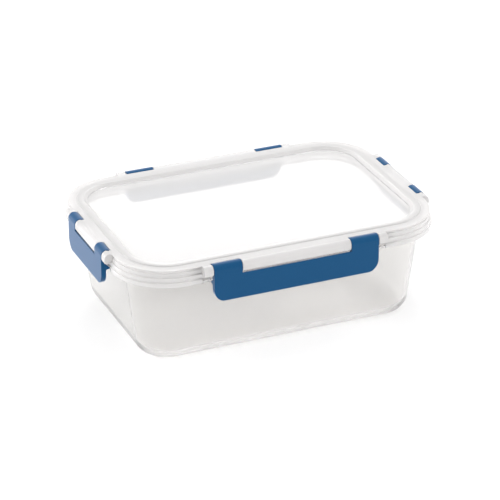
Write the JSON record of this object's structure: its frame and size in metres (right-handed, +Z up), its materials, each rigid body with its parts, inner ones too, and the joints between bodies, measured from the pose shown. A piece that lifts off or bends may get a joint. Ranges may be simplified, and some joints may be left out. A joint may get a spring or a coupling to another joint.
{
  "type": "snap lid food container",
  "caption": "Rectangular clear food storage container with a clear lid, a seal round its rim and a snap latch hinged on each side.",
  "frame": {"origin": "centre of the container's outline on the surface that it stands on", "axes": "+Z up, +X along the container's length, the front long side faces -Y"},
  "size_m": [0.2388, 0.1668, 0.0763],
  "materials": {
    "tub_plastic": "clear, polished, very slightly milky",
    "lid_plastic": "clear to translucent, hazier than the tub",
    "seal": "translucent white silicone, satin",
    "latch_plastic": "blue, fine satin moulded surface"
  },
  "bodies": {
    "tub": {"tub": "tub_plastic"},
    "lid": {"lid": "lid_plastic", "gasket": "seal"},
    "front_latch": {"latch_front": "latch_plastic"},
    "back_latch": {"latch_back": "latch_plastic"},
    "left_latch": {"latch_left": "latch_plastic"},
    "right_latch": {"latch_right": "latch_plastic"}
  },
  "joints": [
    {"name": "lid_lift", "type": "slide", "parent": "tub", "child": "lid", "axis": [0, 0, 1], "range_m": [0, 0.09]},
    {"name": "front_latch_hinge", "type": "hinge", "parent": "lid", "child": "front_latch", "pos_m": [0, -0.0794, 0.0722], "axis": [-1, 0, 0], "range_deg": [0, 135]},
    {"name": "back_latch_hinge", "type": "hinge", "parent": "lid", "child": "back_latch", "pos_m": [0, 0.0794, 0.0722], "axis": [1, 0, 0], "range_deg": [0, 135]},
    {"name": "left_latch_hinge", "type": "hinge", "parent": "lid", "child": "left_latch", "pos_m": [-0.1154, 0, 0.0722], "axis": [0, 1, 0], "range_deg": [0, 135]},
    {"name": "right_latch_hinge", "type": "hinge", "parent": "lid", "child": "right_latch", "pos_m": [0.1154, 0, 0.0722], "axis": [0, -1, 0], "range_deg": [0, 135]}
  ]
}
